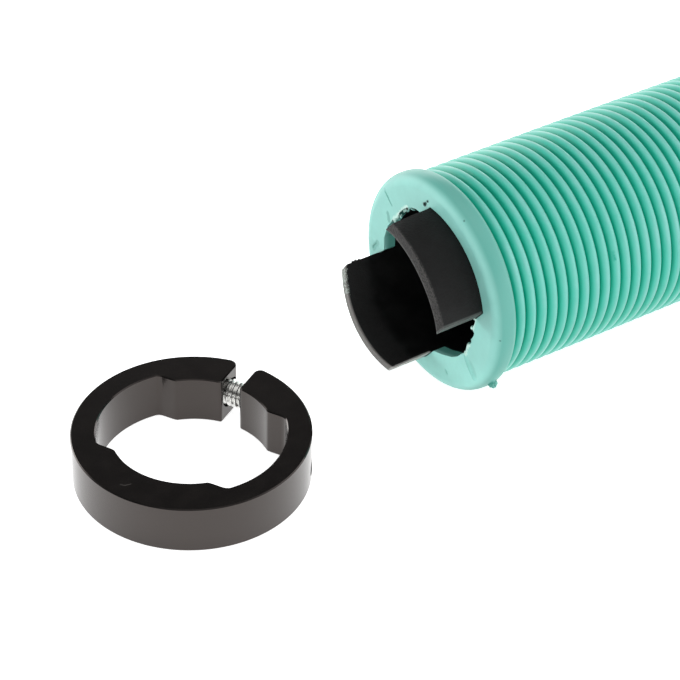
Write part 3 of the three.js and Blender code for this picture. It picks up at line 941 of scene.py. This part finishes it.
def plastic_material(settings):
    """Black plastic, scraped at the tabs' tips with a painted reflection there too, a painted highlight on
    their lower sides, and chipped at a corner.
    """
    material, tree, shader = new_material("Black Plastic", IOR=1.3)
    grain = use_group(tree, "grain", grains_per_metre=3200.0, blotches_per_metre=420.0)
    fine, blotches = grain.outputs["Grain"], grain.outputs["Blotches"]
    place_of, axes = object_place(tree)
    near = math_node(tree, "GREATER_THAN", across_tabs(tree, place_of, 1), 0.0)
    sideways = across_tabs(tree, place_of, 2)
    half = settings.tab_width / 2
    cut_back = math_node(tree, "MULTIPLY", math_node(tree, "MULTIPLY", sideways, sideways),
                         0.8 * TIP_CROWN / (half * half))
    tip_x = math_node(tree, "MULTIPLY_ADD", near, -FAR_TAB_SHORTER, CORE_LOW.x + FAR_TAB_SHORTER)
    behind = math_node(tree, "SUBTRACT", axes.outputs["X"], math_node(tree, "ADD", tip_x, cut_back))
    # Scraped wear and a painted reflection: the tabs' tip faces are paler, the far tab's most.
    tip = scaled_range(tree, behind, 0.08 * MM, 0.4 * MM, 1, 0)
    scraped_and_lit = math_node(tree, "MULTIPLY", tip, varied(tree, blotches, 0.6, 0.4))
    mottled = math_node(tree, "MULTIPLY", blotches, 0.05)
    share = math_node(tree, "MAXIMUM", scraped_and_lit, mottled, clamp=True)
    share = math_node(tree, "MULTIPLY", share, varied(tree, fine, 1.0, 0.15), clamp=True)
    colour = mix_colour(tree, share, rgba(settings.colour), rgba(settings.scrape_and_reflection_colour))
    worn = math_node(tree, "MULTIPLY", tip, math_node(tree, "SUBTRACT", 1.0, near))
    colour = mix_colour(tree, weakened(tree, worn, 0.8), colour, WORN_AND_LIT_TIP)
    # Painted highlight on the tabs' lower side faces just outside the end face.
    lower = scaled_range(tree, sideways, half - 0.35 * MM, half - 0.1 * MM)
    outside = scaled_range(tree, axes.outputs["X"], END_FACE_X - 0.3 * MM, END_FACE_X, 1, 0)
    lit_side = math_node(tree, "MULTIPLY", math_node(tree, "MULTIPLY", lower, outside),
                         varied(tree, blotches, 0.4, 0.6))
    colour = mix_colour(tree, lit_side, colour, mix_colour(tree, near, FAR_SIDE_HIGHLIGHT, NEAR_SIDE_HIGHLIGHT))
    far_tip = -TAB_LENGTH + FAR_TAB_SHORTER + TIP_CROWN
    ends = [TAB_FRAME @ Vector((far_tip, across, beside)) for across, beside in CHIPPED_STRETCH]
    chipped = math_node(tree, "MULTIPLY", mark_mask(tree, *ends, 1.0, 3.2),
                        scaled_range(tree, behind, 0.3 * MM, 0.55 * MM, 1, 0))
    chipped = math_node(tree, "MULTIPLY", chipped, scaled_range(tree, fine, 0.38, 0.56))
    colour = mix_colour(tree, chipped, colour, CHIPPED_PLASTIC)
    tree.links.new(colour, shader.inputs["Base Color"])
    inside = scaled_range(tree, distance_from_axis(tree, axes), settings.bore_radius + 0.05 * MM,
                          settings.bore_radius + 0.4 * MM, 1, 0)
    roughness = math_node(tree, "MULTIPLY_ADD", inside, -0.3, varied(tree, blotches, 0.12, 0.6))
    tree.links.new(roughness, shader.inputs["Roughness"])
    outer_grain = math_node(tree, "MULTIPLY", fine, math_node(tree, "SUBTRACT", 1.0, inside))
    bump(tree, shader, outer_grain, 0.5, 0.05 * MM)
    return material


# Clamp ring

RING_SIDES = 180
RECESS_ROUNDING = 0.75 * MM
LUG_ROUNDING = 1.1 * MM
LUG_INNER_ROUNDING = 0.4 * MM
SCREW_OFFSET = 14.2 * MM
SHANK_HOLE_RADIUS = 2.3 * MM
POCKET_RADIUS = 3.1 * MM
HEAD_SEAT = 5.2 * MM
# A shallow round dimple in the ring's wall: its direction from +X, height, radius and depth
DIMPLE_TURN = math.radians(-38.5)
DIMPLE_HEIGHT = 2 * MM
DIMPLE_RADIUS = 1.2 * MM
DIMPLE_DEPTH = 0.3 * MM
# A fine curved scratch on the ring's upper face, as X and Y in mm
SCRATCH = ((-89.93, -4.83), (-89.52, -5.34), (-88.74, -5.47))

WORN_ANODISING = (0.008, 0.007, 0.0065, 1)
SCRATCHED_ANODISING = (0.05, 0.047, 0.044, 1)


def round_upright_edges(ring, radius, segments, wanted):
    """In edit mode, rounds the upright edges whose place wanted says yes to."""
    def chosen(edge):
        low, high = (vertex.co for vertex in edge.verts)
        return abs(low.z - high.z) > 0.9 * RING_WIDTH and wanted(low)

    pick(ring, "EDGE", chosen)
    bpy.ops.mesh.bevel(offset=radius, segments=segments, affect="EDGES")


def round_lugs(ring, gap, under, over):
    """Rounds the two lugs' outer corners, which are wider than one facet of the ring's wall."""
    across = gap + LUG_ROUNDING
    out = math.sqrt((RING_RADIUS - LUG_ROUNDING) ** 2 - across ** 2)
    turn = math.atan2(across, out)
    for side, first in ((1, turn - math.pi / 2), (-1, -turn)):
        corner = block("corner", (0, 0, under), (3 * MM, 3 * MM, over))
        place(corner, Matrix.Translation((out, side * across, 0)) @ Matrix.Rotation(first, 4, "Z"))
        cut(corner, bar("rounding", LUG_ROUNDING, (out, side * across, under - CLEAR),
                        (out, side * across, over + CLEAR), 40))
        cut(ring, corner)


class OBJECT_OT_grip_ring(bpy.types.Operator):
    """Model the split clamp ring with its two pads, two tab recesses and screw holes"""
    bl_idname = "object.grip_ring"
    bl_label = "Clamp Ring"

    def execute(self, context):
        settings = context.scene.grip_ring
        under, over = -CLEAR, RING_WIDTH + CLEAR
        ring = bar("fine_lock_ring", RING_RADIUS, (0, 0, 0), (0, 0, RING_WIDTH), RING_SIDES)
        cut(ring, bar("pads", settings.pad_radius, (0, 0, under), (0, 0, over), RING_SIDES))
        recess = bar("recess", settings.recess_radius, (0, 0, under), (0, 0, over), RING_SIDES)
        half = settings.recess_width / 2
        combine(recess, block("keep", (-half, -REACH, -REACH / 2), (half, REACH, REACH)), "INTERSECT")
        cut(ring, recess)
        gap = settings.gap / 2
        cut(ring, block("gap", (5 * MM, -gap, under), (REACH, gap, over)))

        nearly = 0.02 * MM
        start_editing(ring)
        round_upright_edges(ring, RECESS_ROUNDING, 5, lambda p: abs(abs(p.x) - half) < nearly
                            and p.xy.length < settings.recess_radius + nearly)
        round_upright_edges(ring, LUG_INNER_ROUNDING, 3, lambda p: p.x > 0
                            and abs(abs(p.y) - gap) < nearly
                            and p.xy.length < settings.pad_radius + CLEAR)
        stop_editing()
        round_lugs(ring, gap, under, over)
        tidy_mesh(ring, 0.12 * MM)
        round_edges(ring, settings.edge, 1, 40)

        towards = Matrix.Rotation(DIMPLE_TURN - RING_TURN, 3, "Z") @ Vector((1, 0, 0))
        dimple_height = Vector((0, 0, DIMPLE_HEIGHT))
        middle = RING_WIDTH / 2
        cut(ring,
            bar("dimple", DIMPLE_RADIUS, towards * (RING_RADIUS - DIMPLE_DEPTH) + dimple_height,
                towards * (RING_RADIUS + CLEAR) + dimple_height, 32),
            bar("shank_hole", SHANK_HOLE_RADIUS, (SCREW_OFFSET, -REACH, middle),
                (SCREW_OFFSET, REACH, middle), 48),
            bar("head_pocket", POCKET_RADIUS, (SCREW_OFFSET, HEAD_SEAT, middle),
                (SCREW_OFFSET, REACH, middle), 48))
        place(ring, RING_FRAME)
        tidy_mesh(ring)
        smooth(ring, 38, weighted=True)
        finish_piece(ring, "root", "lock_ring", anodised_material(settings))
        return {"FINISHED"}


def anodised_material(settings):
    """Black anodised metal with faint turning lines about the ring's middle."""
    material, tree, shader = new_material(
        "Black Anodised Metal", IOR=1.56, **{"Specular Tint": (1.0, 0.87, 0.81, 1)})
    grain = use_group(tree, "grain", grains_per_metre=5200.0, blotches_per_metre=260.0)
    blotches = grain.outputs["Blotches"]
    place_of = add(tree, "ShaderNodeTexCoord").outputs["Object"]
    turned = add(tree, "ShaderNodeMapping", vector_type="TEXTURE", sockets={
        "Vector": place_of, "Location": RING_CENTRE, "Rotation": (0, 0, RING_TURN)})
    axes = add(tree, "ShaderNodeSeparateXYZ", sockets={0: turned.outputs["Vector"]})
    radius = math_node(tree, "SQRT", math_node(
        tree, "ADD", math_node(tree, "MULTIPLY", axes.outputs["X"], axes.outputs["X"]),
        math_node(tree, "MULTIPLY", axes.outputs["Y"], axes.outputs["Y"])))
    lines = add(tree, "ShaderNodeCombineXYZ", sockets={0: radius, 1: axes.outputs["Z"]})
    turning = add(tree, "ShaderNodeTexNoise", sockets={
        "Vector": lines.outputs["Vector"], "Scale": 9000.0, "Detail": 2.0})
    colour = mix_colour(tree, weakened(tree, blotches, 0.5), rgba(settings.colour), WORN_ANODISING)
    bends = [Vector((x * MM, y * MM, RING_WIDTH)) for x, y in SCRATCH]
    for start, end in zip(bends, bends[1:]):
        scratched = mark_mask(tree, start, end, 0.16, 0.1)
        colour = mix_colour(tree, weakened(tree, scratched, 0.7), colour, SCRATCHED_ANODISING)
    tree.links.new(colour, shader.inputs["Base Color"])
    tree.links.new(varied(tree, blotches, 0.04, 0.11), shader.inputs["Roughness"])
    height = math_node(tree, "MULTIPLY_ADD", grain.outputs["Grain"], 0.4, turning.outputs["Fac"])
    bump(tree, shader, height, 0.06, 0.02 * MM)
    return material


# Clamp screw

THREAD_STEPS = 28
# The thread's depth as a share of its pitch, and how far its crest is rounded off
THREAD_DEPTH = 0.6
CREST_ROUNDING = 0.03 * MM
HEAD_CLEARANCE = 0.3 * MM
HEAD_RADIUS = 2.8 * MM
HEAD_HEIGHT = 2.6 * MM
SOCKET_RADIUS = 1.443 * MM
SOCKET_DEPTH = 1.6 * MM
WORN_PLATING = (0.42, 0.42, 0.41, 1)


class OBJECT_OT_grip_screw(bpy.types.Operator):
    """Model the clamp screw with a helical thread and a hexagon socket in its head"""
    bl_idname = "object.grip_screw"
    bl_label = "Clamp Screw"

    def execute(self, context):
        settings = context.scene.grip_screw
        seat = HEAD_SEAT + HEAD_CLEARANCE
        tip = seat - settings.length
        outer = settings.diameter / 2
        pitch = settings.pitch
        root = outer - THREAD_DEPTH * pitch
        # The thread starts two turns before the tip and ends two turns past the seat, to be trimmed.
        start = tip - 2 * pitch
        turns = math.ceil(settings.length / pitch) + 4
        profile = ((root, 0), (outer - CREST_ROUNDING, 0.36), (outer, 0.42), (outer, 0.52),
                   (outer - CREST_ROUNDING, 0.58), (root, 0.94), (root, 1))
        screw = draw_line("fine_clamp_screw",
                          [(radius, 0, start + share * pitch) for radius, share in profile])
        apply_modifier(screw, "SCREW", axis="Z", angle=FULL_TURN, screw_offset=pitch,
                       iterations=turns, steps=THREAD_STEPS, render_steps=THREAD_STEPS)
        tidy_mesh(screw, 0.001 * MM)
        start_editing(screw)
        bpy.ops.mesh.select_all(action="SELECT")
        bpy.ops.mesh.fill_holes(sides=0)
        combine(screw, bar("trim", 1.5 * outer, (0, 0, tip), (0, 0, seat), 32), "INTERSECT")
        tidy_mesh(screw)
        top = seat + HEAD_HEIGHT
        head = bar("head", HEAD_RADIUS, (0, 0, seat - 0.02 * MM), (0, 0, top), 48)
        round_edges(head, 0.3 * MM, 3)
        cut(head, bar("socket", SOCKET_RADIUS, (0, 0, top - SOCKET_DEPTH), (0, 0, top + CLEAR), 6))
        combine(screw, head, "UNION")
        lay = Matrix.Translation((SCREW_OFFSET, 0, RING_WIDTH / 2)) @ Matrix.Rotation(-math.pi / 2, 4, "X")
        place(screw, RING_FRAME @ lay)
        tidy_mesh(screw)
        smooth(screw, 30)
        finish_piece(screw, "root", "clamp_screw", steel_material(settings))
        return {"FINISHED"}


def steel_material(settings):
    """Bright plated steel with fine grain."""
    material, tree, shader = new_material("Plated Steel", Metallic=1.0)
    grain = use_group(tree, "grain", grains_per_metre=4200.0, blotches_per_metre=700.0)
    worn = weakened(tree, grain.outputs["Blotches"], 0.35)
    tree.links.new(mix_colour(tree, worn, rgba(settings.colour), WORN_PLATING), shader.inputs["Base Color"])
    tree.links.new(varied(tree, grain.outputs["Grain"], 0.14, 0.16), shader.inputs["Roughness"])
    bump(tree, shader, grain.outputs["Grain"], 0.08, 0.01 * MM)
    return material


# Floor, surround and camera

FLOOR_SIZE = 8
SENSOR_WIDTH = 36
CAMERA_CLIP = (0.01, 30)
# How brightly the floor shows to the camera and in reflections
SHOWN_GLOW = (0.8, 0.8, 0.8, 1)
MIRRORED_GLOW = (1, 1, 1, 1)
# The surround's brightness is given at these heights, as the sine of the angle above the horizon.
SURROUND_HEIGHTS = (0.0, 0.17, 0.42, 0.7, 1.0)
# Each side: its direction in degrees from +X towards +Y, how narrow it is, and its brightness by height
SURROUND = ((0, 1, (1.6, 2.2, 0.2, 0.0, 1.8)), (180, 1, (3.2, 2.6, 0.1, 0.0, 1.8)),
            (90, 1, (4.0, 5.6, 0.5, 0.0, 1.8)), (270, 1, (4.8, 1.7, 0.4, 0.2, 1.8)),
            (-25, 3, (0.8, 1.0, 1.2, 1.1, 0.0)))
# The strength of the surround, at which a ramp's white stands for this brightness
SURROUND_STRENGTH = 8.0
# Keeps the share of a side from dividing by nothing straight overhead
NEARLY_ONE = 1.000001


def floor_material(settings):
    """A matt pale floor that shows white to the camera and in reflections, and keeps shadows."""
    material, tree, shader = new_material("Pale Floor", Roughness=0.9, **{"Specular IOR Level": 0.0,
                                                                          "Emission Strength": 1.0})
    noise = add(tree, "ShaderNodeTexNoise", sockets={
        "Vector": add(tree, "ShaderNodeTexCoord").outputs["Object"], "Scale": 40.0})
    worn = tuple(0.98 * value for value in settings.floor_colour)
    colour = mix_colour(tree, noise.outputs["Fac"], rgba(settings.floor_colour), rgba(worn))
    tree.links.new(colour, shader.inputs["Base Color"])
    path = add(tree, "ShaderNodeLightPath")
    mirrored = math_node(tree, "MAXIMUM", path.outputs["Is Glossy Ray"],
                         path.outputs["Is Transmission Ray"])
    glow = mix_colour(tree, path.outputs["Is Camera Ray"], (0, 0, 0, 1), SHOWN_GLOW)
    glow = mix_colour(tree, mirrored, glow, MIRRORED_GLOW)
    tree.links.new(glow, shader.inputs["Emission Color"])
    return material


def paint_world(scene):
    """The studio around the object, with its own brightness on each side and at each height."""
    world = bpy.data.worlds.new("Surround")
    scene.world = world
    world.use_nodes = True
    tree = world.node_tree
    tree.nodes.clear()
    towards = add(tree, "ShaderNodeTexCoord").outputs["Generated"]
    axes = add(tree, "ShaderNodeSeparateXYZ", sockets={0: towards})
    height = axes.outputs["Z"]
    level = math_node(tree, "SUBTRACT", NEARLY_ONE, math_node(tree, "MULTIPLY", height, height))
    total = 0.0
    for direction, narrowness, greys in SURROUND:
        ramp = add(tree, "ShaderNodeValToRGB", sockets={"Fac": height})
        stops = ramp.color_ramp.elements
        for share, grey in zip(SURROUND_HEIGHTS, greys):
            stop = stops[0] if share == 0 else stops[-1] if share == 1 else stops.new(share)
            stop.position = share
            stop.color = (*[grey / SURROUND_STRENGTH] * 3, 1)
        turn = math.radians(direction)
        ahead = vector_node(tree, "DOT_PRODUCT", towards, (math.cos(turn), math.sin(turn), 0), out="Value")
        ahead = math_node(tree, "MAXIMUM", ahead, 0.0)
        share = math_node(tree, "DIVIDE", math_node(tree, "MULTIPLY", ahead, ahead), level, clamp=True)
        share = math_node(tree, "POWER", share, narrowness)
        total = math_node(tree, "MULTIPLY_ADD", share, ramp.outputs["Color"], total)
    background = add(tree, "ShaderNodeBackground", sockets={"Color": total,
                                                            "Strength": SURROUND_STRENGTH})
    add(tree, "ShaderNodeOutputWorld", sockets={"Surface": background.outputs["Background"]})


def camera_facing(settings):
    """The camera's rotation, from where it looks and how far it is turned about its own view."""
    level = Vector((math.sin(settings.heading), math.cos(settings.heading), 0))
    forward = level * math.cos(settings.pitch) - Vector((0, 0, math.sin(settings.pitch)))
    right = Vector((math.cos(settings.heading), -math.sin(settings.heading), 0))
    up = right.cross(forward)
    turned_right = right * math.cos(settings.roll) + up * math.sin(settings.roll)
    turned_up = up * math.cos(settings.roll) - right * math.sin(settings.roll)
    return Matrix((turned_right, turned_up, -forward)).transposed().to_euler()


class OBJECT_OT_grip_stage(bpy.types.Operator):
    """Set up the pale floor, the bright surround and the camera"""
    bl_idname = "object.grip_stage"
    bl_label = "Stage"

    def execute(self, context):
        settings = context.scene.grip_stage
        stop_editing()
        bpy.ops.object.select_all(action="DESELECT")
        bpy.ops.mesh.primitive_plane_add(size=FLOOR_SIZE)
        floor = newest("floor")
        floor.data.materials.append(floor_material(settings))
        paint_world(context.scene)
        bpy.ops.object.camera_add(location=settings.camera_place, rotation=camera_facing(settings))
        camera = bpy.context.object
        camera.name = "camera"
        camera.data.sensor_width = SENSOR_WIDTH
        camera.data.lens = settings.lens
        camera.data.clip_start, camera.data.clip_end = CAMERA_CLIP
        context.scene.camera = camera
        context.scene.view_settings.view_transform = "Standard"
        return {"FINISHED"}


class VIEW3D_PT_grip(bpy.types.Panel):
    """Lists the sizes, colours and steps of the grip"""
    bl_label = "Handlebar Grip"
    bl_idname = "VIEW3D_PT_grip"
    bl_space_type = "VIEW_3D"
    bl_region_type = "UI"
    bl_category = "Grip"

    def draw(self, context):
        for name, _, operator in STEPS:
            box = self.layout.box()
            settings = getattr(context.scene, name)
            for field in settings.__annotations__:
                box.prop(settings, field)
            box.operator(operator.bl_idname)


STEPS = (
    ("grip_sleeve", GripSleeveSettings, OBJECT_OT_grip_sleeve),
    ("grip_core", GripCoreSettings, OBJECT_OT_grip_core),
    ("grip_ring", GripRingSettings, OBJECT_OT_grip_ring),
    ("grip_screw", GripScrewSettings, OBJECT_OT_grip_screw),
    ("grip_stage", GripStageSettings, OBJECT_OT_grip_stage),
)


def register():
    for name, settings, operator in STEPS:
        bpy.utils.register_class(settings)
        bpy.utils.register_class(operator)
        setattr(bpy.types.Scene, name, PointerProperty(type=settings))
    bpy.utils.register_class(VIEW3D_PT_grip)


def unregister():
    bpy.utils.unregister_class(VIEW3D_PT_grip)
    for name, settings, operator in reversed(STEPS):
        delattr(bpy.types.Scene, name)
        bpy.utils.unregister_class(operator)
        bpy.utils.unregister_class(settings)


def main():
    register()
    bpy.ops.object.grip_sleeve()
    bpy.ops.object.grip_core()
    bpy.ops.object.grip_ring()
    bpy.ops.object.grip_screw()
    bpy.ops.object.grip_stage()
    stop_editing()


if __name__ == "__main__":
    main()
